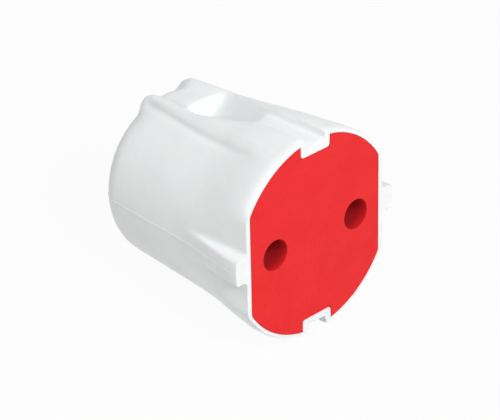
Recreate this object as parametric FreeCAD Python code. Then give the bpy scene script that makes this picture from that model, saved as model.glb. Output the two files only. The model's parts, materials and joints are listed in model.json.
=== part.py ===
import FreeCAD, Part
import math
import os

# Two-pole connector for a cord, with a red insert in a white moulded housing.
# The mating face lies on Y = 0 and looks along -Y, the cord enters along +Y, Z is up.
# Lengths are in millimetres.

# face and pins
pin_pitch = 19.0
pin_hole_d = 5.5
face_r = 17.6
face_half_width = 15.07
face_notch_half_width = 3.37
face_notch_floor = 15.07
face_thickness = 3.0
insert_clearance = 0.06

# outside of the housing
length = 37.2
rim_r = 18.5
rim_half_width = 16.0
flat_slope = 0.02
flat_edge_round = 5.0
grip_r = 16.2
grip_start = 17.0
tail_r = 15.1
tail_round = 5.0
flare_front_pull = 4.6
flare_front_swell = 0.1
flare_rear_pull = 9.0
lug_half_height = 2.3

# keyways above and below the face
keyway_half_width = 2.3
keyway_floor = 16.7
keyway_length = 14.0

# the pair of rails on the top and on the underside, each with a soft outer foot
rail_front_r = 18.42
rail_start = 4.0
rail_end_r = 16.5
rail_end = 32.9
rail_shoulder = 12.0
rail_fall = 16.0
rail_fall_r = 17.2
rail_tail_round = 3.5
rail_crown_pull = 0.55
rail_foot_pull = 0.3
rail_bury = 0.8
rail_core_z = 9.0
rail_core_half_width = 5.0
# place along the rail, half width of its crown, half width over its feet, slope at which the foot arrives
rail_stations = [(1.0, 8.6, 9.6, 40), (5.0, 7.3, 9.0, 50), (10.0, 6.15, 8.2, 62), (18.0, 5.2, 7.5, 64),
                 (27.0, 4.8, 6.75, 66), (32.6, 4.55, 5.9, 68), (36.8, 4.4, 5.5, 68)]
valley_floor = 14.85
valley_r = 9.5
valley_tail_start = 32.5
valley_tail_r = 7.0
valley_tail_slope_deg = 29

# finger scoops between the rails
scoop_r = 4.9
scoop_front = 12.4
scoop_slope_deg = 18.9
scoop_rear = 27.7

# inside of the housing
wall = 2.0
side_wall = 1.7
rear_wall = 3.2
shoulder_r = 15.4
inlet_d = 8.0
screw_rib_half_width = 4.6
screw_rib_front = 15.0

# contacts: a slotted sleeve with a spring ring round it, set in a terminal block by a spigot
pin_depth = 19.4
sleeve_od = 6.4
sleeve_id = 4.9
sleeve_front = 4.6
sleeve_end_wall = 0.6
sleeve_lead_in = 0.4
sleeve_slot = 0.9
sleeve_slot_length = 9.0
sleeve_seat_length = 0.8
sleeve_seat_clearance = 0.1
spring_width = 3.0
spring_thickness = 0.5
spring_gap = 1.0
spring_from_tip = 2.2
chamber_d = 7.8
barrel_d = 9.4
barrel_end = 15.0
spigot_d = 5.0
spigot_length = 1.8
block_size = 6.4
block_length = 6.4
block_chamfer = 0.3
block_front = pin_depth + sleeve_end_wall
wire_hole_d = 3.0
wire_hole_end_wall = 0.8
wire_plate_width = 2.1
wire_plate_length = 4.2
wire_plate_thickness = 0.8
wire_plate_top = 0.9
fit_clearance = 0.05

# screws and nuts
m3_d = 3.0
m3_head_d = 5.5
m3_head_height = 2.0
small_screw_d = 2.5
small_head_d = 4.5
small_head_height = 1.5
small_nut_width = 5.0
small_nut_height = 2.0
screw_hole_clearance = 0.15
head_clearance = 0.25
head_chamfer = 0.3
tip_chamfer = 0.4
slot_width = 0.8
slot_depth = 0.9
terminal_screw_from_rear = 2.8
terminal_screw_y = block_front + block_length - terminal_screw_from_rear
middle_screw_y = 21.0
housing_screw_recess = 2.4
housing_screw_length = 8.0
cover_screw_length = 6.0
clamp_screw_length = 12.0
blind_hole_spare = 0.4

# carrier behind the face
tray_top = -5.5
tray_thickness = 2.5
tray_half_width = 10.4
tray_rear = 33.5
tail_half_width = 9.4
divider_half_width = 1.0
middle_boss_d = 6.2
block_stop = 1.2
cover_front_gap = 0.3
cover_thickness = 1.5
cover_half_width = 12.0
cover_corner_round = 1.2
cover_window_clearance = 0.3

# cord grip
cord_d = 7.0
saddle_front = 27.9
saddle_length = 5.2
saddle_top = -1.0
clamp_half_width = 9.0
clamp_length = 4.8
clamp_bottom = 1.2
clamp_thickness = 3.6
clamp_corner_round = 1.0
clamp_screw_x = 6.0

# places that follow from these
divider_top = block_size / 2 + fit_clearance
stop_front = block_front + block_length + fit_clearance
stop_rear = stop_front + block_stop
tray_bottom = tray_top - tray_thickness
clamp_y = saddle_front + saddle_length / 2


def vec(x, y, z):
    return FreeCAD.Vector(x, y, z)


along_x = vec(1, 0, 0)
along_y = vec(0, 1, 0)
along_z = vec(0, 0, 1)
centre = vec(0, 0, 0)


def block(x0, x1, y0, y1, z0, z1):
    return Part.makeBox(x1 - x0, y1 - y0, z1 - z0, vec(x0, y0, z0))


def rod_y(radius, x, z, y0, y1):
    return Part.makeCylinder(radius, y1 - y0, vec(x, y0, z), along_y)


def rod_x(radius, y, z, x0, x1):
    return Part.makeCylinder(radius, x1 - x0, vec(x0, y, z), along_x)


def rod_z(radius, x, y, z0, z1):
    return Part.makeCylinder(radius, z1 - z0, vec(x, y, z0), along_z)


def hexagon_z(across, x, y, z0, z1):
    corner = across / 2 / math.cos(math.radians(30))
    points = [vec(x + corner * math.cos(math.radians(60 * k)), y + corner * math.sin(math.radians(60 * k)), z0)
              for k in range(7)]
    return Part.Face(Part.makePolygon(points)).extrude(vec(0, 0, z1 - z0))


def curve_edge(points):
    curve = Part.BezierCurve()
    curve.setPoles(points)
    return curve.toShape()


def line(a, b):
    return Part.makeLine(a, b)


def arc(a, middle, b):
    return Part.Arc(a, middle, b).toShape()


def turned(edges):
    # edges lie in the XY plane and run from the axis outwards and back to it
    return Part.Face(Part.Wire(edges)).revolve(centre, along_y, 360)


def rounded_end(radius, round_r, end_y):
    # quarter round of a turned end: from the outside to the flat rear face
    inner = radius - round_r
    front = end_y - round_r
    bend = round_r * math.sqrt(0.5)
    return arc(vec(radius, front, 0), vec(inner + bend, front + bend, 0), vec(inner, end_y, 0))


def flare_points():
    slope = (grip_r - tail_r) / (length - tail_round - grip_start)
    return [vec(rim_r, 0, 0),
            vec(rim_r + flare_front_swell, flare_front_pull, 0),
            vec(grip_r + slope * flare_rear_pull, grip_start - flare_rear_pull, 0),
            vec(grip_r, grip_start, 0)]


def round_grip():
    shape = turned([line(vec(0, 0, 0), vec(rim_r, 0, 0)),
                    curve_edge(flare_points()),
                    line(vec(grip_r, grip_start, 0), vec(tail_r, length - tail_round, 0)),
                    rounded_end(tail_r, tail_round, length),
                    line(vec(tail_r - tail_round, length, 0), vec(0, length, 0)),
                    line(vec(0, length, 0), vec(0, 0, 0))])
    shape.rotate(centre, along_y, 90)
    return shape


def side_flats():
    # two flats that run out into the round grip
    back = length + 1
    cuts = []
    for side in (-1, 1):
        at_front = side * (rim_half_width - flat_slope)
        at_back = side * (rim_half_width + flat_slope * back)
        far = side * (rim_r + 4)
        low = -rim_r - 2
        corners = [vec(at_front, -1, low), vec(at_back, back, low), vec(far, back, low), vec(far, -1, low)]
        cuts.append(Part.Face(Part.makePolygon(corners + corners[:1])).extrude(vec(0, 0, -2 * low)))
    return cuts


def grip_solid():
    shape = round_grip()
    for cutter in side_flats():
        shape = shape.cut(cutter)
    edges = []
    for edge in shape.Edges:
        beside_flat = abs(abs(edge.CenterOfMass.x) - rim_half_width) < flat_slope * grip_start + 0.1
        if beside_flat and edge.BoundBox.YLength > 1:
            edges.append(edge)
    return shape.makeFillet(flat_edge_round, edges)


def grip_radius(y):
    bend = length - tail_round
    if y < grip_start:
        return height_on_curve(flare_points(), y)
    if y > bend:
        return tail_r - tail_round + math.sqrt(tail_round ** 2 - (y - bend) ** 2)
    return grip_r + (tail_r - grip_r) * (y - grip_start) / (bend - grip_start)


def rail_radius(y):
    if y <= rail_start:
        return rail_front_r
    if y < rail_end:
        return height_on_curve(rail_points(), y)
    return rail_end_r


def height_on_curve(points, y):
    # radius of a smooth curve, given by its four control points, at the place y along the axis
    low = 0.0
    high = 1.0
    for step in range(40):
        middle = (low + high) / 2
        at = bezier_point(points, middle)
        if at.y < y:
            low = middle
        else:
            high = middle
    return bezier_point(points, low).x


def bezier_point(points, t):
    first, second, third, last = points
    rest = 1 - t
    return first * rest ** 3 + second * 3 * rest ** 2 * t + third * 3 * rest * t ** 2 + last * t ** 3


def rail_points():
    return [vec(rail_front_r, rail_start, 0), vec(rail_front_r, rail_shoulder, 0),
            vec(rail_fall_r, rail_fall, 0), vec(rail_end_r, rail_end, 0)]


def rail_section(y, crown, foot, foot_slope_deg):
    # crown on the rail's own radius, and on each side a convex slope that meets the grip at the foot
    top_r = rail_radius(y)
    low_r = min(grip_radius(y), top_r)
    top = math.asin(crown / top_r)
    low = math.radians(foot_slope_deg)
    leave_pull = rail_crown_pull * (foot - crown)
    arrive_pull = rail_foot_pull * (foot - crown)

    def slope(side):
        start = vec(side * crown, y, top_r * math.cos(top))
        end = vec(side * foot, y, math.sqrt(low_r ** 2 - foot ** 2))
        leave = vec(side * math.cos(top), 0, -math.sin(top)) * leave_pull
        arrive = vec(side * math.cos(low), 0, -math.sin(low))
        buried = end + arrive * rail_bury
        return start, buried, [start, start + leave, end - arrive * arrive_pull, buried]

    left_top, left_foot, left_poles = slope(-1)
    right_top, right_foot, right_poles = slope(1)
    left_core = vec(-rail_core_half_width, y, rail_core_z)
    right_core = vec(rail_core_half_width, y, rail_core_z)
    return Part.Wire([arc(left_top, vec(0, y, top_r), right_top),
                      curve_edge(right_poles),
                      line(right_foot, right_core),
                      line(right_core, left_core),
                      line(left_core, left_foot),
                      curve_edge(list(reversed(left_poles)))])


def rail_limit():
    # rounds off the tail ends of the rails
    start = 0.5
    end = rail_end + rail_tail_round
    crest = curve_edge([point + vec(0.02, 0, 0) for point in rail_points()])
    front = vec(rail_front_r + 0.02, rail_start, 0)
    tail = rail_end_r + 0.02
    return turned([line(vec(0, start, 0), vec(front.x, start, 0)),
                   line(vec(front.x, start, 0), front),
                   crest,
                   rounded_end(tail, rail_tail_round, end),
                   line(vec(tail - rail_tail_round, end, 0), vec(0, end, 0)),
                   line(vec(0, end, 0), vec(0, start, 0))])


def rails():
    bars = Part.makeLoft([rail_section(*station) for station in rail_stations], True, False)
    return bars.common(rail_limit()).cut(valley_tail())


def scoop_floor(y):
    return keyway_floor - (y - scoop_front) * math.tan(math.radians(scoop_slope_deg))


def scoop_tool(grow):
    # round trough with upright sides that slopes down towards the rear
    radius = scoop_r + grow
    reach = length
    middle_z = keyway_floor + scoop_r
    shape = rod_y(radius, 0, middle_z, scoop_front - reach, scoop_front + reach)
    shape = shape.fuse(block(-radius, radius, scoop_front - reach, scoop_front + reach, middle_z, middle_z + reach))
    shape.rotate(vec(0, scoop_front, keyway_floor), along_x, -scoop_slope_deg)
    return shape


def scoop():
    round_y = scoop_rear - scoop_r
    plan = block(-scoop_r, scoop_r, 0, round_y, 5, 30).fuse(rod_z(scoop_r, 0, round_y, 5, 30))
    return scoop_tool(0).common(plan)


def mirrored_below(shape):
    return shape.mirror(centre, along_z)


def valley():
    # shallow trough between the rails, on both sides of the scoop's rear wall
    return rod_y(valley_r, 0, valley_floor + valley_r, scoop_rear - scoop_r, length + 2)


def valley_tail():
    # where the trough follows the rounded end of the grip down between the tails of the rails
    shape = rod_y(valley_tail_r, 0, valley_floor + valley_tail_r, valley_tail_start, length + 2)
    shape.rotate(vec(0, valley_tail_start, valley_floor), along_x, -valley_tail_slope_deg)
    return shape


def keyway():
    return block(-keyway_half_width, keyway_half_width, -1, keyway_length, keyway_floor, rim_r + 2)


def lugs():
    return round_grip().common(block(-rim_r - 1, rim_r + 1, 0, grip_start + 4, -lug_half_height, lug_half_height))


def face_profile(clearance, y0, y1):
    # round face with two flat sides and a notch above and below
    radius = face_r + clearance
    half_width = face_half_width + clearance
    notch = face_notch_half_width - clearance
    floor = face_notch_floor + clearance
    shape = rod_y(radius, 0, 0, y0, y1)
    shape = shape.common(block(-half_width, half_width, y0, y1, -radius, radius))
    for low, high in ((floor, radius + 1), (-radius - 1, -floor)):
        shape = shape.cut(block(-notch, notch, y0 - 1, y1 + 1, low, high))
    return shape


def inside_radius(y):
    if y <= grip_start:
        return shoulder_r + (grip_r - wall - shoulder_r) * (y - face_thickness) / (grip_start - face_thickness)
    return grip_r - wall + (tail_r - grip_r) * (y - grip_start) / (length - tail_round - grip_start)


def cavity():
    start = face_thickness
    end = length - rear_wall
    shape = turned([line(vec(0, start, 0), vec(inside_radius(start), start, 0)),
                    line(vec(inside_radius(start), start, 0), vec(inside_radius(grip_start), grip_start, 0)),
                    line(vec(inside_radius(grip_start), grip_start, 0), vec(inside_radius(end), end, 0)),
                    line(vec(inside_radius(end), end, 0), vec(0, end, 0)),
                    line(vec(0, end, 0), vec(0, start, 0))])
    half_width = rim_half_width - side_wall
    shape = shape.common(block(-half_width, half_width, 0, length, -rim_r, rim_r))
    cheek = face_notch_half_width
    floor = face_notch_floor
    guard = block(-cheek, cheek, 0, keyway_length, floor, rim_r)
    scoop_end = scoop_rear + wall
    guard = guard.fuse(scoop_tool(wall).common(block(-rim_r, rim_r, 0, scoop_end, 0, rim_r)))
    guard = guard.fuse(block(-scoop_r - wall, scoop_r + wall, scoop_rear - scoop_r, scoop_end,
                             scoop_floor(scoop_rear) - wall, rim_r))
    shape = shape.cut(guard)
    shape = shape.cut(mirrored_below(guard))
    rib_top = tray_bottom - insert_clearance
    return shape.cut(block(-screw_rib_half_width, screw_rib_half_width, screw_rib_front, length, -rim_r, rib_top))


def housing_screw_seat():
    return housing_screw_recess - scoop_floor(middle_screw_y)


def housing_upper_half():
    shape = grip_solid().fuse(lugs())
    shape = shape.common(block(-rim_r - 1, rim_r + 1, -1, length + 1, 0, rim_r + 1))
    shape = shape.fuse(rails())
    for cutter in (valley(), keyway(), scoop()):
        shape = shape.cut(cutter)
    return shape.removeSplitter()


def housing_outside():
    upper = housing_upper_half()
    return upper.fuse(mirrored_below(upper)).removeSplitter()


def housing():
    shape = housing_outside()
    shape = shape.cut(face_profile(insert_clearance, -1, face_thickness))
    shape = shape.cut(cavity())
    shape = shape.cut(rod_y(inlet_d / 2, 0, 0, length - rear_wall - 1, length + 1))
    seat = housing_screw_seat()
    shape = shape.cut(rod_z(m3_d / 2 + screw_hole_clearance, 0, middle_screw_y, seat - 1, tray_bottom))
    return shape.cut(rod_z(m3_head_d / 2 + head_clearance, 0, middle_screw_y, -rim_r, seat))


def carrier():
    shape = face_profile(0, 0, face_thickness)
    shape = shape.fuse(tray())
    shape = shape.fuse(block(-divider_half_width, divider_half_width, face_thickness, stop_rear,
                             tray_top, divider_top))
    shape = shape.fuse(rod_z(middle_boss_d / 2, 0, middle_screw_y, tray_top, divider_top))
    for side in (-1, 1):
        shape = shape.fuse(rod_y(barrel_d / 2, side * pin_pitch / 2, 0, face_thickness, barrel_end))
        shape = shape.fuse(block_bed(side))
    shape = shape.fuse(saddle())
    for side in (-1, 1):
        shape = shape.cut(contact_bore(side))
        shape = shape.cut(clamp_screw_hole(side, tray_bottom - 1, saddle_top + 1))
        nut_width = small_nut_width + 2 * fit_clearance
        shape = shape.cut(hexagon_z(nut_width, side * clamp_screw_x, clamp_y, tray_bottom - 1,
                                    tray_bottom + small_nut_height))
    shape = shape.cut(rod_z(m3_d / 2 + fit_clearance, 0, middle_screw_y, tray_bottom - 1,
                            housing_screw_seat() + housing_screw_length + blind_hole_spare))
    shape = shape.cut(rod_z(small_screw_d / 2 + fit_clearance, 0, middle_screw_y,
                            cover_top() - cover_screw_length - blind_hole_spare, divider_top + 1))
    return shape.removeSplitter()


def tray():
    front = block(-tray_half_width, tray_half_width, face_thickness, stop_rear, tray_bottom, tray_top)
    return front.fuse(block(-tail_half_width, tail_half_width, stop_rear, tray_rear, tray_bottom, tray_top))


def block_bed(side):
    # foot under one terminal block, and the stop behind it
    inner = pin_pitch / 2 - block_size / 2
    outer = pin_pitch / 2 + block_size / 2
    bed_top = -block_size / 2 - fit_clearance
    shape = block(inner, tray_half_width, face_thickness, stop_rear, tray_top, bed_top)
    shape = shape.fuse(block(inner, outer, stop_front, stop_rear, bed_top, divider_top))
    if side < 0:
        return shape.mirror(centre, along_x)
    return shape


def saddle():
    rear = saddle_front + saddle_length
    shape = block(-tail_half_width, tail_half_width, saddle_front, rear, tray_top, saddle_top)
    return shape.cut(rod_y(cord_d / 2, 0, 0, saddle_front - 1, rear + 1))


def contact_bore(side):
    # pin hole, a short seat for the tip of the sleeve, and the chamber in which the sleeve can open
    x = side * pin_pitch / 2
    seat_end = sleeve_front + sleeve_seat_length
    shape = rod_y(pin_hole_d / 2, x, 0, -1, sleeve_front)
    shape = shape.fuse(rod_y(sleeve_od / 2 + sleeve_seat_clearance, x, 0, sleeve_front, seat_end))
    return shape.fuse(rod_y(chamber_d / 2, x, 0, seat_end, barrel_end + 1))


def clamp_screw_hole(side, z0, z1):
    return rod_z(small_screw_d / 2 + screw_hole_clearance, side * clamp_screw_x, clamp_y, z0, z1)


def contact_sleeve(side):
    x = side * pin_pitch / 2
    shape = rod_y(sleeve_od / 2, x, 0, sleeve_front, block_front)
    shape = shape.cut(rod_y(sleeve_id / 2, x, 0, sleeve_front, pin_depth))
    shape = shape.cut(Part.makeCone(sleeve_id / 2 + sleeve_lead_in, sleeve_id / 2, sleeve_lead_in,
                                    vec(x, sleeve_front, 0), along_y))
    shape = shape.cut(block(x - sleeve_od, x + sleeve_od, sleeve_front, sleeve_front + sleeve_slot_length,
                            -sleeve_slot / 2, sleeve_slot / 2))
    return shape.fuse(rod_y(spigot_d / 2, x, 0, block_front, block_front + spigot_length))


def contact_spring(side):
    x = side * pin_pitch / 2
    front = sleeve_front + spring_from_tip
    inner = sleeve_od / 2 + fit_clearance
    shape = rod_y(inner + spring_thickness, x, 0, front, front + spring_width)
    shape = shape.cut(rod_y(inner, x, 0, front, front + spring_width))
    return shape.cut(block(x - spring_gap / 2, x + spring_gap / 2, front, front + spring_width, 0, chamber_d))


def terminal_block(side):
    # the core enters from the middle of the connector and is pressed by a screw from above
    half = block_size / 2
    x = pin_pitch / 2
    shape = block(x - half, x + half, block_front, block_front + block_length, -half, half)
    shape = shape.makeChamfer(block_chamfer, shape.Edges)
    shape = shape.cut(rod_y(spigot_d / 2 + fit_clearance, x, 0, block_front - 1,
                            block_front + spigot_length + fit_clearance))
    shape = shape.cut(rod_x(wire_hole_d / 2, terminal_screw_y, 0, x - half - 1, x + half - wire_hole_end_wall))
    shape = shape.cut(rod_z(m3_d / 2 + fit_clearance, x, terminal_screw_y, 0, half + 1))
    if side < 0:
        return shape.mirror(centre, along_x)
    return shape


def wire_plate(side):
    x = side * pin_pitch / 2
    half_length = wire_plate_length / 2
    half_width = wire_plate_width / 2
    return block(x - half_length, x + half_length, terminal_screw_y - half_width, terminal_screw_y + half_width,
                 wire_plate_top - wire_plate_thickness, wire_plate_top)


def screw(diameter, head_d, head_height, shank):
    # slotted cheese-head screw with its seat on z = 0 and its shank below; the thread is left out
    shape = rod_z(head_d / 2, 0, 0, 0, head_height).fuse(rod_z(diameter / 2, 0, 0, -shank, 0))
    top = [edge for edge in shape.Edges if edge.BoundBox.ZMin > head_height - 0.01]
    shape = shape.makeChamfer(head_chamfer, top)
    tip = [edge for edge in shape.Edges if edge.BoundBox.ZMax < 0.01 - shank]
    shape = shape.makeChamfer(tip_chamfer, tip)
    return shape.cut(block(-head_d, head_d, -slot_width / 2, slot_width / 2, head_height - slot_depth,
                           head_height + 1))


def terminal_screw(side):
    shape = screw(m3_d, m3_head_d, m3_head_height, block_size / 2 - wire_plate_top)
    shape.translate(vec(side * pin_pitch / 2, terminal_screw_y, block_size / 2))
    return shape


def housing_screw():
    shape = screw(m3_d, m3_head_d, m3_head_height, housing_screw_length)
    shape.rotate(centre, along_x, 180)
    shape.translate(vec(0, middle_screw_y, housing_screw_seat()))
    return shape


def cover_top():
    return divider_top + cover_thickness


def cover_screw():
    shape = screw(small_screw_d, small_head_d, small_head_height, cover_screw_length)
    shape.translate(vec(0, middle_screw_y, cover_top()))
    return shape


def corners_rounded(shape, radius):
    # rounds the upright corners of a plate
    upright = [edge for edge in shape.Edges if edge.BoundBox.XLength + edge.BoundBox.YLength < 0.01]
    return shape.makeFillet(radius, upright)


def terminal_cover():
    shape = block(-cover_half_width, cover_half_width, barrel_end + cover_front_gap, stop_rear,
                  divider_top, cover_top())
    shape = corners_rounded(shape, cover_corner_round)
    shape = shape.cut(rod_z(small_screw_d / 2 + screw_hole_clearance, 0, middle_screw_y, 0, cover_top() + 1))
    for side in (-1, 1):
        window = m3_head_d / 2 + cover_window_clearance
        shape = shape.cut(rod_z(window, side * pin_pitch / 2, terminal_screw_y, 0, cover_top() + 1))
    return shape


def clamp_top():
    return clamp_bottom + clamp_thickness


def cord_clamp():
    shape = block(-clamp_half_width, clamp_half_width, clamp_y - clamp_length / 2, clamp_y + clamp_length / 2,
                  clamp_bottom, clamp_top())
    shape = corners_rounded(shape, clamp_corner_round)
    shape = shape.cut(rod_y(cord_d / 2, 0, 0, saddle_front - 1, saddle_front + saddle_length + 1))
    for side in (-1, 1):
        shape = shape.cut(clamp_screw_hole(side, 0, clamp_top() + 1))
    return shape


def clamp_screw(side):
    shape = screw(small_screw_d, small_head_d, small_head_height, clamp_screw_length)
    shape.translate(vec(side * clamp_screw_x, clamp_y, clamp_top()))
    return shape


def clamp_nut(side):
    x = side * clamp_screw_x
    shape = hexagon_z(small_nut_width, x, clamp_y, tray_bottom, tray_bottom + small_nut_height)
    return shape.cut(rod_z(small_screw_d / 2 + fit_clearance, x, clamp_y, tray_bottom - 1, tray_top))


def build():
    os.makedirs("parts", exist_ok=True)
    nodes = {"housing": housing(), "contact_carrier": carrier(), "terminal_cover": terminal_cover(),
             "cover_screw": cover_screw(), "cord_clamp": cord_clamp(), "housing_screw": housing_screw()}
    for name, side in (("left_", -1), ("right_", 1)):
        nodes[name + "contact_sleeve"] = contact_sleeve(side)
        nodes[name + "contact_spring"] = contact_spring(side)
        nodes[name + "terminal_block"] = terminal_block(side)
        nodes[name + "terminal_screw"] = terminal_screw(side)
        nodes[name + "wire_plate"] = wire_plate(side)
        nodes[name + "clamp_screw"] = clamp_screw(side)
        nodes[name + "clamp_nut"] = clamp_nut(side)
    for name, shape in nodes.items():
        print(name, shape.isValid(), len(shape.Solids), round(shape.Volume, 1))
        shape.exportStep("parts/" + name + ".step")


build()
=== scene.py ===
import json
import math
import bmesh
import bpy
from mathutils import Euler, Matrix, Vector


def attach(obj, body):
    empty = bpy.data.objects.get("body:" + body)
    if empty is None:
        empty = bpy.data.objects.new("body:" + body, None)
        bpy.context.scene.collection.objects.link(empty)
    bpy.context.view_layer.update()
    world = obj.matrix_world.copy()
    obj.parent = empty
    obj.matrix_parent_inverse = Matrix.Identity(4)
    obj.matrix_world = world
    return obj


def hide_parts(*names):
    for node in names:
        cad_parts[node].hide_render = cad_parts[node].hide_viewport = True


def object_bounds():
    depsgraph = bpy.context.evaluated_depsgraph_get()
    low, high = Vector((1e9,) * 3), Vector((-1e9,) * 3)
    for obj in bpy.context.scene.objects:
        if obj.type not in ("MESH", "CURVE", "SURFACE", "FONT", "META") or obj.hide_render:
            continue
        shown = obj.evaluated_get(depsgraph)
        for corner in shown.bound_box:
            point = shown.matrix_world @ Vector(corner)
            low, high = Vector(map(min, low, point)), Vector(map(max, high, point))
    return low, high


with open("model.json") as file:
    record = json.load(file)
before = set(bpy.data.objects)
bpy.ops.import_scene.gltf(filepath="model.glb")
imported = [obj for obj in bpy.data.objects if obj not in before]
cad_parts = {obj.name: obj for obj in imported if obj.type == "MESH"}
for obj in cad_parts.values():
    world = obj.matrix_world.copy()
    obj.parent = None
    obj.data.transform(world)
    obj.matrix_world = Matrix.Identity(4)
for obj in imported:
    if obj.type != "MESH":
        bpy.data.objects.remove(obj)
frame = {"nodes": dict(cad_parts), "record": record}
nodes = frame["nodes"]
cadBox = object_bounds()
mm = 0.001   # the scene is in metres, the sizes below are in millimetres
print("frame loaded,", len(nodes), "nodes")

# Camera: fitted to the two pin holes, the rim and the rear outline of the connector in the photograph.
cameraSet = {
    "lens": 176.66,                        # on a 36 mm sensor
    "place": (-253.14, -244.48, 196.17),   # mm from the middle of the red face
    "turn": (61.4525, 1.1769, -44.8864),   # degrees
}


def makeCamera():
    data = bpy.data.cameras.new("studioCamera")
    data.sensor_width = 36
    data.lens = cameraSet["lens"]
    data.clip_start = 0.01
    camera = bpy.data.objects.new("studioCamera", data)
    bpy.context.scene.collection.objects.link(camera)
    camera.location = Vector(cameraSet["place"]) * mm
    camera.rotation_euler = Euler([math.radians(a) for a in cameraSet["turn"]], "XYZ")
    bpy.context.scene.camera = camera


makeCamera()
print("camera placed")


# Material helpers

def srgb(code):
    # sRGB hex to the linear values that the shaders take
    channels = [int(code[i:i + 2], 16) / 255 for i in (1, 3, 5)]
    return [c / 12.92 if c <= 0.04045 else ((c + 0.055) / 1.055) ** 2.4 for c in channels] + [1.0]


def addNode(material, kind, settings, links):
    # one node with its settings; a link is an input and the socket that feeds it
    node = material.node_tree.nodes.new(kind)
    for key, value in settings.items():
        if isinstance(key, int) or key in node.inputs:
            node.inputs[key].default_value = value
        else:
            setattr(node, key, value)
    for key, source in links.items():
        material.node_tree.links.new(source, node.inputs[key])
    return node


def startMaterial(name, settings):
    material = bpy.data.materials.new(name)
    material.use_nodes = True
    shader = material.node_tree.nodes["Principled BSDF"]
    for key, value in settings.items():
        shader.inputs[key].default_value = value
    return material, shader


def feed(material, shader, key, socket):
    material.node_tree.links.new(socket, shader.inputs[key])


def objectPlace(material):
    return addNode(material, "ShaderNodeTexCoord", {}, {}).outputs["Object"]


def noise(material, place, sizeMm, detail=2.0, rough=0.5):
    # noise whose lumps are about sizeMm across
    node = addNode(material, "ShaderNodeTexNoise",
                   {"Scale": 1 / (sizeMm * mm), "Detail": detail, "Roughness": rough}, {"Vector": place})
    return node.outputs["Fac"]


def spread(material, value, low, high, outLow, outHigh):
    node = addNode(material, "ShaderNodeMapRange",
                   {"From Min": low, "From Max": high, "To Min": outLow, "To Max": outHigh}, {"Value": value})
    return node.outputs["Result"]


def glossPatches(material, place, sizeMm, roughness):
    # patches of more and less gloss, between two values of roughness
    return spread(material, noise(material, place, sizeMm), 0.3, 0.7, *roughness)


def mixColours(material, factor, first, second):
    node = material.node_tree.nodes.new("ShaderNodeMix")
    node.data_type = "RGBA"
    for port, colour in ((node.inputs[6], first), (node.inputs[7], second)):
        if isinstance(colour, str):
            port.default_value = srgb(colour)
        else:
            material.node_tree.links.new(colour, port)
    material.node_tree.links.new(factor, node.inputs[0])
    return node.outputs[2]


def bump(material, height, depthMm, below=None):
    # depthMm is the height of the relief between the values 0 and 1
    links = {"Height": height}
    if below is not None:
        links["Normal"] = below
    node = addNode(material, "ShaderNodeBump", {"Strength": 1.0, "Distance": depthMm * mm}, links)
    return node.outputs["Normal"]


# White housing plastic: injection-moulded polypropylene, satin, slightly milky. The mould leaves a fine
# orange-peel relief and faint flow clouds, and handling has left a few specks of dust in the surface.
housingPlastic = {
    "colour": "#F2F5F5", "cloud": "#EDF0F0", "speck": "#8F8A82",
    "roughness": (0.36, 0.46), "ior": 1.49,
    "cloudSize": 9.0, "peelSize": 0.55, "peelDepth": 0.006,
    "grainSize": 0.16, "grainDepth": 0.0018,
    "speckSize": 1.6, "speckShare": 0.08,
    "milk": 0.12, "milkReach": 1.1,
    "sheenSize": 3.0,                      # patches of more and less gloss
    "rareFrom": 0.9, "rareTo": 0.92,       # only the last tenth of the cells holds a speck
    "speckStrength": 0.6,
}


def mouldedWhitePolypropylene():
    s = housingPlastic
    material, shader = startMaterial("mouldedWhitePolypropylene", {
        "IOR": s["ior"], "Subsurface Weight": s["milk"], "Subsurface Scale": s["milkReach"] * mm})
    place = objectPlace(material)
    cloud = spread(material, noise(material, place, s["cloudSize"], 3.0), 0.35, 0.65, 0.0, 1.0)
    colour = mixColours(material, cloud, s["colour"], s["cloud"])
    cells = addNode(material, "ShaderNodeTexVoronoi", {"Scale": 1 / (s["speckSize"] * mm)}, {"Vector": place})
    dot = spread(material, cells.outputs["Distance"], 0.0, s["speckShare"], 1.0, 0.0)
    chosen = addNode(material, "ShaderNodeSeparateColor", {}, {"Color": cells.outputs["Color"]})
    rare = spread(material, chosen.outputs["Red"], s["rareFrom"], s["rareTo"], 0.0, s["speckStrength"])
    speck = addNode(material, "ShaderNodeMath", {"operation": "MULTIPLY"}, {0: dot, 1: rare})
    feed(material, shader, "Base Color", mixColours(material, speck.outputs[0], colour, s["speck"]))
    feed(material, shader, "Roughness", glossPatches(material, place, s["sheenSize"], s["roughness"]))
    peel = bump(material, noise(material, place, s["peelSize"]), s["peelDepth"])
    grain = bump(material, noise(material, place, s["grainSize"]), s["grainDepth"], peel)
    feed(material, shader, "Normal", grain)
    return material


# Red insert: urea moulding, matt and dense, with a fine etched grain on its face and a slightly paler bloom
# in large patches. Its colour gets painted shade that deepens inside the pin holes.
insertPlastic = {
    "colour": "#E32024", "bloom": "#E62629", "dark": "#D81D21",
    "roughness": (0.55, 0.68), "ior": 1.5, "gloss": 0.25,
    "bloomSize": 6.0, "mottleSize": 0.7, "mottleStrength": 0.5, "sheenSize": 1.5,
    "grainSize": 0.22, "grainDepth": 0.004,
    "edgeRound": 0.12,
    # painted shade colour for the inside of the pin holes, reached between the two depths behind the face
    "boreShade": "#B31B22", "boreFrom": 0.15, "boreTo": 2.0,
}


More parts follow.
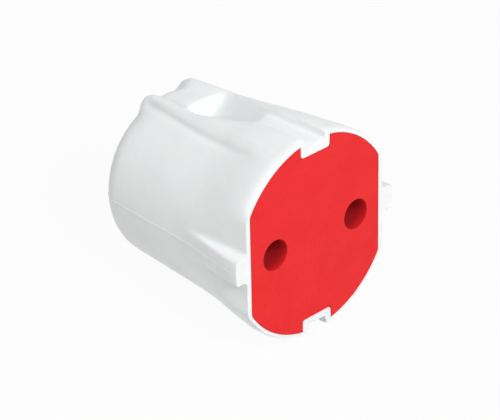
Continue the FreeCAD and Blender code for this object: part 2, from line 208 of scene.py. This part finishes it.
def mattRedUrea():
    s = insertPlastic
    material, shader = startMaterial("mattRedUrea", {"IOR": s["ior"], "Specular IOR Level": s["gloss"]})
    place = objectPlace(material)
    bloom = spread(material, noise(material, place, s["bloomSize"], 3.0), 0.35, 0.65, 0.0, 1.0)
    patches = noise(material, place, s["mottleSize"], 3.0)
    mottle = spread(material, patches, 0.45, 0.75, 0.0, s["mottleStrength"])
    colour = mixColours(material, bloom, s["colour"], s["bloom"])
    faded = mixColours(material, mottle, colour, s["dark"])
    # painted shade: the red darkens with depth behind the face along the object's Y, so the inside of each
    # pin hole is painted darker; the bloom of the face ends at their mouths
    along = addNode(material, "ShaderNodeSeparateXYZ", {}, {"Vector": place})
    paintedBoreShade = spread(material, along.outputs["Y"], s["boreFrom"] * mm, s["boreTo"] * mm, 0.0, 1.0)
    feed(material, shader, "Base Color", mixColours(material, paintedBoreShade, faded, s["boreShade"]))
    feed(material, shader, "Roughness", glossPatches(material, place, s["sheenSize"], s["roughness"]))
    rounded = addNode(material, "ShaderNodeBevel", {"Radius": s["edgeRound"] * mm, "samples": 8}, {})
    etched = noise(material, place, s["grainSize"], 3.0)
    feed(material, shader, "Normal", bump(material, etched, s["grainDepth"], rounded.outputs["Normal"]))
    return material


# Inner cover and cord clamp: the same kind of moulding in a plain grey-white, dull because nobody sees it.
coverPlastic = {
    "colour": "#DEDCD6", "cloud": "#D6D4CD",
    "roughness": (0.5, 0.6), "ior": 1.53,
    "cloudSize": 5.0, "sheenSize": 2.0,
    "grainSize": 0.3, "grainDepth": 0.004,
}


def dullMouldedNylon():
    s = coverPlastic
    material, shader = startMaterial("dullMouldedNylon", {"IOR": s["ior"]})
    place = objectPlace(material)
    cloud = spread(material, noise(material, place, s["cloudSize"]), 0.35, 0.65, 0.0, 1.0)
    feed(material, shader, "Base Color", mixColours(material, cloud, s["colour"], s["cloud"]))
    feed(material, shader, "Roughness", glossPatches(material, place, s["sheenSize"], s["roughness"]))
    feed(material, shader, "Normal", bump(material, noise(material, place, s["grainSize"]), s["grainDepth"]))
    return material


# Metals: turned brass with fine lathe rings, blue-bright zinc on the screws, and hardened spring steel.
metals = {
    "turnedBrass": {"colour": "#D9B065", "stain": "#C39A52", "roughness": (0.22, 0.36), "ringPitch": 0.12},
    "zincPlatedSteel": {"colour": "#C9CCD0", "stain": "#B4B8BE", "roughness": (0.25, 0.4), "ringPitch": 0.2},
    "hardenedSpringSteel": {"colour": "#9DA0A4", "stain": "#84878C", "roughness": (0.3, 0.45),
                            "ringPitch": 0.25},
}
metalDetail = {"stainSize": 2.5, "sheenSize": 1.0, "ringDepth": 0.003, "ringStretch": 0.05}


def metalFinish(name):
    s = metals[name]
    material, shader = startMaterial(name, {"Metallic": 1.0})
    place = objectPlace(material)
    stain = spread(material, noise(material, place, metalDetail["stainSize"], 3.0), 0.4, 0.7, 0.0, 1.0)
    feed(material, shader, "Base Color", mixColours(material, stain, s["colour"], s["stain"]))
    gloss = glossPatches(material, place, metalDetail["sheenSize"], s["roughness"])
    feed(material, shader, "Roughness", gloss)
    flat = metalDetail["ringStretch"]
    stretched = addNode(material, "ShaderNodeMapping", {"Scale": (flat, 1.0, flat)}, {"Vector": place})
    rings = noise(material, stretched.outputs[0], s["ringPitch"])
    feed(material, shader, "Normal", bump(material, rings, metalDetail["ringDepth"]))
    return material


finishes = {
    "white_housing": mouldedWhitePolypropylene(),
    "red_insert": mattRedUrea(),
    "inner_cover": dullMouldedNylon(),
    "contact_brass": metalFinish("turnedBrass"),
    "spring_steel": metalFinish("hardenedSpringSteel"),
    "zinc_plated_steel": metalFinish("zincPlatedSteel"),
}
slotOf = {part["node"]: part["material_slot"] for part in frame["record"]["subparts"]}


def dress(obj, slot):
    obj.data.materials.clear()
    obj.data.materials.append(finishes[slot])


for nodeName, node in nodes.items():
    for slotIndex in range(max(1, len(node.material_slots))):
        if len(node.material_slots) == 0:
            node.data.materials.append(finishes[slotOf[nodeName]])
        else:
            node.material_slots[slotIndex].material = finishes[slotOf[nodeName]]
print("finishes given to", len(nodes), "nodes")

# The housing as it leaves the mould, with soft edges: a fine even mesh is made over the solid, smoothed zone
# by zone, shaped along the rails and round the rim, and its front is cut flat again.
housingSkin = {
    "voxel": 0.35,
    "frontSpare": 1.2,          # grown in front of the rim before the remesh and cut off after it
    "crispAngle": 42,
    "frontDepth": 0.01,         # a face whose corners lie in front of this is the front
    "weld": 0.0005,
    # zone: y from and to, |x| from and to, |z| from and to, rounds of smoothing
    "zones": [
        ("all over", (0.0, 40.0), (0.0, 20.0), (0.0, 20.0), 2),
        ("rails and scoops", (2.0, 38.0), (3.2, 12.5), (11.5, 20.0), 4),
        ("front feet of the rails", (3.0, 22.0), (6.6, 13.0), (11.0, 18.6), 12),
        ("rear feet of the rails", (22.0, 36.0), (5.3, 12.0), (11.0, 18.6), 22),
        ("shoulders of the scoops", (9.0, 23.0), (2.9, 7.6), (14.0, 20.0), 10),
        ("scoop floors", (13.0, 30.0), (0.0, 5.6), (10.0, 15.2), 10),
        ("troughs", (28.0, 38.0), (0.0, 4.0), (11.5, 20.0), 8),
    ],
    # soft groove along the outer foot of each rail: place along the rail and distance from the middle
    "groove": [(3.0, 8.7), (10.0, 8.3), (18.0, 7.6), (27.0, 6.5), (34.5, 5.6)],
    "grooveDepth": 0.5,
    "grooveWidth": 0.5,
    "grooveFade": ((5.0, 13.0), (33.0, 36.0)),
    # faint draw lines on the broad front ends of the rails
    "drawLines": [[(3.0, 6.3), (15.0, 5.4)], [(1.5, 7.9), (9.0, 7.2)]],
    "drawDepth": 0.12,
    "drawWidth": 0.4,
    "drawFade": [((3.0, 6.0), (13.0, 18.0)), ((1.6, 3.0), (8.0, 12.0))],
    # the crests of the rails stand up a little towards their tails
    "crest": [(20.0, 4.6), (36.0, 4.4)],
    "crestHeight": 0.24,
    "crestWidth": 1.1,
    "crestFade": ((22.0, 30.0), (35.5, 37.5)),
    "above": 11.0,
    # rolled lip of the rim, on its round stretches only: how far it draws in, how far back it starts
    "lipIn": 0.42,
    "lipBack": 2.2,
    "lipFrom": (8.0, 11.0),
}


def meshCopy(node):
    bm = bmesh.new()
    bm.from_mesh(node.data)
    bmesh.ops.remove_doubles(bm, verts=bm.verts, dist=housingSkin["weld"] * mm)
    return bm


def newPiece(name, bm):
    mesh = bpy.data.meshes.new(name)
    bm.to_mesh(mesh)
    bm.free()
    piece = bpy.data.objects.new(name, mesh)
    bpy.context.scene.collection.objects.link(piece)
    return piece


def bakeModifiers(piece):
    graph = bpy.context.evaluated_depsgraph_get()
    mesh = bpy.data.meshes.new_from_object(piece.evaluated_get(graph))
    piece.modifiers.clear()
    piece.data = mesh


def growFront(bm, spare):
    depth = housingSkin["frontDepth"] * mm
    flat = [f for f in bm.faces if all(v.co.y < depth for v in f.verts)]
    grown = bmesh.ops.extrude_face_region(bm, geom=flat)
    moved = [g for g in grown["geom"] if isinstance(g, bmesh.types.BMVert)]
    bmesh.ops.translate(bm, verts=moved, vec=(0, -spare * mm, 0))


def cutFront(bm):
    everything = bm.verts[:] + bm.edges[:] + bm.faces[:]
    cut = bmesh.ops.bisect_plane(bm, geom=everything, plane_co=(0, 0, 0), plane_no=(0, -1, 0),
                                 clear_outer=True)
    rim = [g for g in cut["geom_cut"] if isinstance(g, bmesh.types.BMEdge)]
    bmesh.ops.triangle_fill(bm, edges=rim, use_beauty=True)
    bmesh.ops.recalc_face_normals(bm, faces=bm.faces)


def inZone(co, zone):
    alongY, acrossX, upZ = zone
    inY = alongY[0] * mm <= co.y <= alongY[1] * mm
    inX = acrossX[0] * mm <= abs(co.x) <= acrossX[1] * mm
    inZ = upZ[0] * mm <= abs(co.z) <= upZ[1] * mm
    return inY and inX and inZ


def between(value, low, high):
    share = min(max((value - low) / (high - low), 0.0), 1.0)
    return share * share * (3 - 2 * share)


def lineAt(points, y):
    # straight runs from point to point
    for (y0, x0), (y1, x1) in zip(points, points[1:]):
        if y <= y1:
            return x0 + (x1 - x0) * (y - y0) / (y1 - y0)
    return points[-1][1]


def shapeAlong(bm, line, height, width, fade):
    # raises the outer skin along a line, or presses it in where height is negative, on both sides of the
    # middle, above and below
    rise, fall = fade
    bm.normal_update()
    moves = []
    for vertex in bm.verts:
        x, y, z = (abs(c) / mm for c in vertex.co)
        if z < housingSkin["above"] or y < rise[0] or y > fall[1]:
            continue
        away = (x - lineAt(line, y)) / width
        share = math.exp(-away * away) * between(y, *rise) * (1 - between(y, *fall))
        outwards = Vector((vertex.co.x, 0, vertex.co.z)).dot(vertex.normal) > 0
        if share > 0.01 and outwards:
            moves.append((vertex, vertex.normal * height * share * mm))
    for vertex, move in moves:
        vertex.co += move


def rollLip(bm):
    s = housingSkin
    bm.normal_update()
    moves = []
    for vertex in bm.verts:
        back = vertex.co.y / mm / s["lipBack"]
        if back >= 1:
            continue
        radial = Vector((vertex.co.x, 0, vertex.co.z)).normalized()
        share = between(abs(vertex.co.z) / mm, *s["lipFrom"])
        if share > 0 and radial.dot(vertex.normal) > 0.5:
            turn = 1 - max(back, 0)
            moves.append((vertex, radial * share * s["lipIn"] * (1 - math.sqrt(1 - turn * turn)) * mm))
    for vertex, move in moves:
        vertex.co -= move


def makeHousingSkin():
    s = housingSkin
    bm = meshCopy(nodes["housing"])
    growFront(bm, s["frontSpare"])
    piece = newPiece("housingSkin", bm)
    remesh = piece.modifiers.new("evenMesh", "REMESH")
    remesh.mode = "VOXEL"
    remesh.voxel_size = s["voxel"] * mm
    bakeModifiers(piece)
    bm = bmesh.new()
    bm.from_mesh(piece.data)
    for name, alongY, acrossX, upZ, rounds in s["zones"]:
        chosen = [v for v in bm.verts if inZone(v.co, (alongY, acrossX, upZ))]
        for step in range(rounds):
            bmesh.ops.smooth_vert(bm, verts=chosen, factor=0.5,
                                  use_axis_x=True, use_axis_y=True, use_axis_z=True)
        print("smoothed", name, len(chosen))
    shapeAlong(bm, s["crest"], s["crestHeight"], s["crestWidth"], s["crestFade"])
    shapeAlong(bm, s["groove"], -s["grooveDepth"], s["grooveWidth"], s["grooveFade"])
    for line, fade in zip(s["drawLines"], s["drawFade"]):
        shapeAlong(bm, line, -s["drawDepth"], s["drawWidth"], fade)
    rollLip(bm)
    cutFront(bm)
    bm.to_mesh(piece.data)
    bm.free()
    piece.data.shade_smooth()
    piece.data.set_sharp_from_angle(angle=math.radians(s["crispAngle"]))
    dress(piece, "white_housing")
    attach(piece, "root")
    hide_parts("housing")
    print("housing skin:", len(piece.data.polygons), "faces")
    return piece


skin = makeHousingSkin()

# Mould line: the thin flash that the two halves of the mould leave along both sides, over the lugs too.
mouldLine = {
    "radius": 0.09,
    "inner": 14.8,        # the cavity lies inside this, up to its rear wall
    "rearWall": 34.3,
    "inlet": 4.4,
    "front": 0.05,        # the line starts just behind the cut front
    "weld": 0.02,
}


def onOutline(co):
    s = mouldLine
    x, y = abs(co.x) / mm, co.y / mm
    return s["front"] < y and (x > s["inner"] or (y > s["rearWall"] and x > s["inlet"]))


def makeMouldLine():
    s = mouldLine
    bm = bmesh.new()
    bm.from_mesh(skin.data)
    everything = bm.verts[:] + bm.edges[:] + bm.faces[:]
    bmesh.ops.bisect_plane(bm, geom=everything, plane_co=(0, 0, 0), plane_no=(0, 0, 1),
                           clear_outer=True, clear_inner=True)
    bmesh.ops.remove_doubles(bm, verts=bm.verts, dist=s["weld"] * mm)
    inside = [v for v in bm.verts if not onOutline(v.co)]
    bmesh.ops.delete(bm, geom=inside, context="VERTS")
    low, high = cadBox
    spare = s["radius"] * mm
    for vertex in bm.verts:
        vertex.co.x = min(max(vertex.co.x, low[0] + spare), high[0] - spare)
        vertex.co.y = min(vertex.co.y, high[1] - spare)
    piece = newPiece("mouldLine", bm)
    for other in bpy.context.selected_objects:
        other.select_set(False)
    bpy.context.view_layer.objects.active = piece
    piece.select_set(True)
    bpy.ops.object.convert(target="CURVE")
    piece = bpy.context.view_layer.objects.active
    piece.data.bevel_depth = spare
    piece.data.bevel_resolution = 1
    piece.data.use_fill_caps = True
    bpy.ops.object.convert(target="MESH")
    piece = bpy.context.view_layer.objects.active
    piece.select_set(False)
    piece.data.shade_smooth()
    dress(piece, "white_housing")
    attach(piece, "root")
    print("mould line:", len(piece.data.polygons), "faces")


makeMouldLine()

# Light: an even white room and three soft lamps: a key from the front and above, a weaker one from the left
# and above, and a weak fill from the right.
lightSet = {
    "room": 0.30,
    "key": {"place": (-100, -450, 370), "size": 0.22, "power": 2.45},
    "side": {"place": (-350, 20, 460), "size": 0.3, "power": 0.7},
    "fill": {"place": (420, -120, 220), "size": 0.4, "power": 0.3},
    "aim": (0, 18, 0),
}


def addLamp(name):
    s = lightSet[name]
    data = bpy.data.lights.new(name + "Lamp", "AREA")
    data.shape = "DISK"
    data.size = s["size"]
    data.energy = s["power"]
    lamp = bpy.data.objects.new(name + "Lamp", data)
    bpy.context.scene.collection.objects.link(lamp)
    lamp.location = Vector(s["place"]) * mm
    lamp.rotation_euler = (Vector(lightSet["aim"]) * mm - lamp.location).to_track_quat("-Z", "Y").to_euler()


def makeRoom():
    # the room looks white to the camera and in reflections, and lights the part at a plain level
    world = bpy.data.worlds.new("whiteRoom")
    bpy.context.scene.world = world
    world.use_nodes = True
    tree = world.node_tree
    background = tree.nodes["Background"]
    path = tree.nodes.new("ShaderNodeLightPath")
    seen = tree.nodes.new("ShaderNodeMath")
    seen.operation = "MAXIMUM"
    tree.links.new(path.outputs["Is Camera Ray"], seen.inputs[0])
    tree.links.new(path.outputs["Is Transmission Ray"], seen.inputs[1])
    mirrored = tree.nodes.new("ShaderNodeMath")
    mirrored.operation = "MAXIMUM"
    tree.links.new(seen.outputs[0], mirrored.inputs[0])
    tree.links.new(path.outputs["Is Glossy Ray"], mirrored.inputs[1])
    level = tree.nodes.new("ShaderNodeMapRange")
    level.inputs["To Min"].default_value = lightSet["room"]
    level.inputs["To Max"].default_value = 1.0
    tree.links.new(mirrored.outputs[0], level.inputs["Value"])
    tree.links.new(level.outputs["Result"], background.inputs["Strength"])
    background.inputs["Color"].default_value = (1, 1, 1, 1)


for lampName in ("key", "side", "fill"):
    addLamp(lampName)
makeRoom()
print("lights placed")

# Floor: a pale board on which the part stands, on its two lower rails, near their front and at their rear.
# It is the board that leans a little, because the part keeps its own axes.
floorSet = {
    "size": 1600, "gap": 0.02,
    "balance": 17.5,          # the place along the part under which its weight hangs
    "slopes": (0.0, 0.4), "halvings": 20,
    "colour": "#DEDEDD", "glow": 0.94, "roughness": 0.7,
}


def restLine():
    # the plane that the underside stands on, with a foot in front of and one behind the balance point: the
    # slopes are narrowed down by halves to the one at which the foot changes ends
    corners = [(v.co.y, v.co.z) for v in skin.data.vertices if v.co.z < 0]
    flat, steep = floorSet["slopes"]
    for step in range(floorSet["halvings"]):
        slope = (flat + steep) / 2
        foot = min(corners, key=lambda corner: corner[1] - slope * corner[0])
        if foot[0] < floorSet["balance"] * mm:
            flat = slope
        else:
            steep = slope
    return flat, min(z - flat * y for y, z in corners)


def makeFloor():
    slope, height = restLine()
    bm = bmesh.new()
    bmesh.ops.create_grid(bm, x_segments=2, y_segments=2, size=floorSet["size"] / 2 * mm)
    lean = Euler((math.atan(slope), 0, 0), "XYZ").to_matrix()
    bmesh.ops.rotate(bm, verts=bm.verts, cent=(0, 0, 0), matrix=lean)
    bmesh.ops.translate(bm, verts=bm.verts, vec=(0, 0, height - floorSet["gap"] * mm))
    floor = newPiece("paleFloor", bm)
    material, shader = startMaterial("paleBoard", {
        "Base Color": srgb(floorSet["colour"]), "Roughness": floorSet["roughness"]})
    tree = material.node_tree
    glow = addNode(material, "ShaderNodeEmission", {"Color": (1, 1, 1, 1), "Strength": 1.0}, {})
    path = addNode(material, "ShaderNodeLightPath", {}, {})
    mirrored = addNode(material, "ShaderNodeMath", {"operation": "MAXIMUM"},
                       {0: path.outputs["Is Glossy Ray"], 1: path.outputs["Is Transmission Ray"]})
    looked = addNode(material, "ShaderNodeMath", {"operation": "MAXIMUM"},
                     {0: path.outputs["Is Camera Ray"], 1: mirrored.outputs[0]})
    seen = addNode(material, "ShaderNodeMath", {"operation": "MULTIPLY", 1: floorSet["glow"]},
                   {0: looked.outputs[0]})
    blend = addNode(material, "ShaderNodeMixShader", {}, {0: seen.outputs[0], 1: shader.outputs[0],
                                                         2: glow.outputs[0]})
    tree.links.new(blend.outputs[0], tree.nodes["Material Output"].inputs["Surface"])
    floor.data.materials.append(material)
    print("floor leans", round(math.degrees(math.atan(slope)), 2), "degrees")


makeFloor()

bpy.context.scene.view_settings.view_transform = "Standard"
